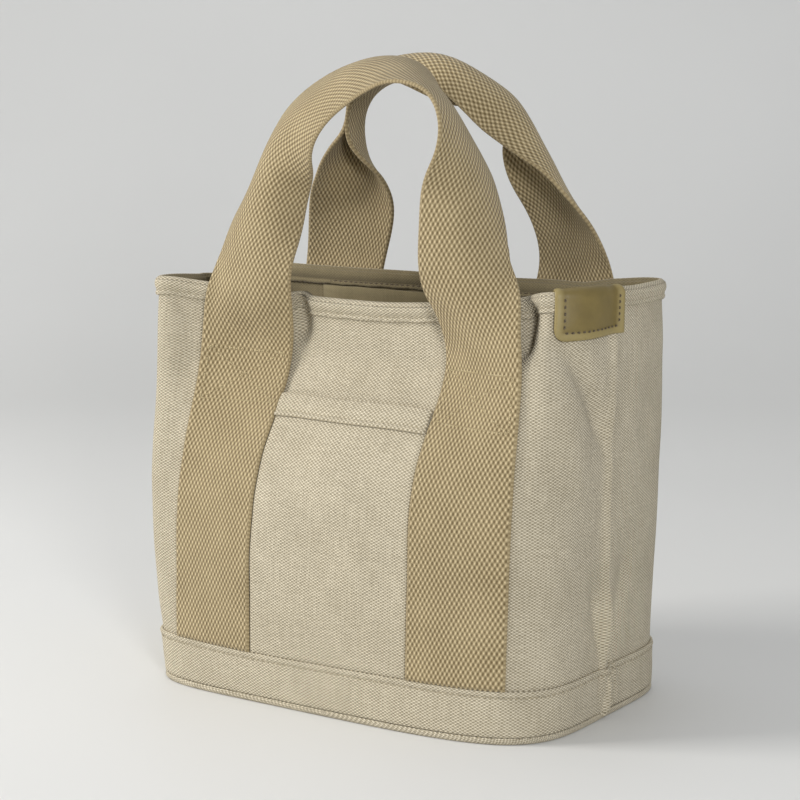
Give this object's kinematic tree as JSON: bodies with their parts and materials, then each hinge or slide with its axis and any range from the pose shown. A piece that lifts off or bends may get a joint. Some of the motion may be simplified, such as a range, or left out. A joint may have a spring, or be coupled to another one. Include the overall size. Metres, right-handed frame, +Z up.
{
  "type": "bucket bag",
  "caption": "Small upright canvas bucket tote: flat base, foot band, open top with bound rim, front patch pocket, leather side tab and webbing handles sewn on as full-height straps.",
  "frame": {"origin": "middle of the base, on the surface the bag stands on", "axes": "+X across the front towards the leather tab's side, -Y out of the pocket face, +Z up towards the handles"},
  "size_m": [0.238, 0.1472, 0.317],
  "materials": {
    "canvas": "heavy undyed cotton canvas, plain weave",
    "webbing": "khaki cotton webbing, herringbone twill",
    "leather": "smooth olive leather, satin",
    "thread": "khaki sewing thread",
    "dark_thread": "dark brown sewing thread",
    "lining": "fine smooth cotton twill",
    "board": "pressed stiffener"
  },
  "bodies": {
    "bag": {"front_panel": "canvas", "back_panel": "canvas", "base_panel": "canvas", "base_board": "board", "bottom_band_front": "canvas", "bottom_band_back": "canvas", "rim_binding_front": "canvas", "rim_binding_back": "canvas", "side_tab": "leather", "tab_stitches": "dark_thread", "front_pocket": "canvas", "pocket_hem": "canvas", "inner_pocket": "lining", "seam_tape_left": "lining", "seam_tape_right": "lining", "front_strap_left": "webbing", "front_strap_right": "webbing", "back_strap_left": "webbing", "back_strap_right": "webbing", "strap_box_stitches": "thread"},
    "front_loop": {"front_handle": "webbing"},
    "back_loop": {"back_handle": "webbing"}
  },
  "joints": [
    {"name": "front_handle_fold", "type": "hinge", "parent": "bag", "child": "front_loop", "pos_m": [0, -0.0456, 0.175], "axis": [1, 0, 0], "range_deg": [0, 154]},
    {"name": "back_handle_fold", "type": "hinge", "parent": "bag", "child": "back_loop", "pos_m": [0, 0.0456, 0.175], "axis": [-1, 0, 0], "range_deg": [0, 154]}
  ]
}
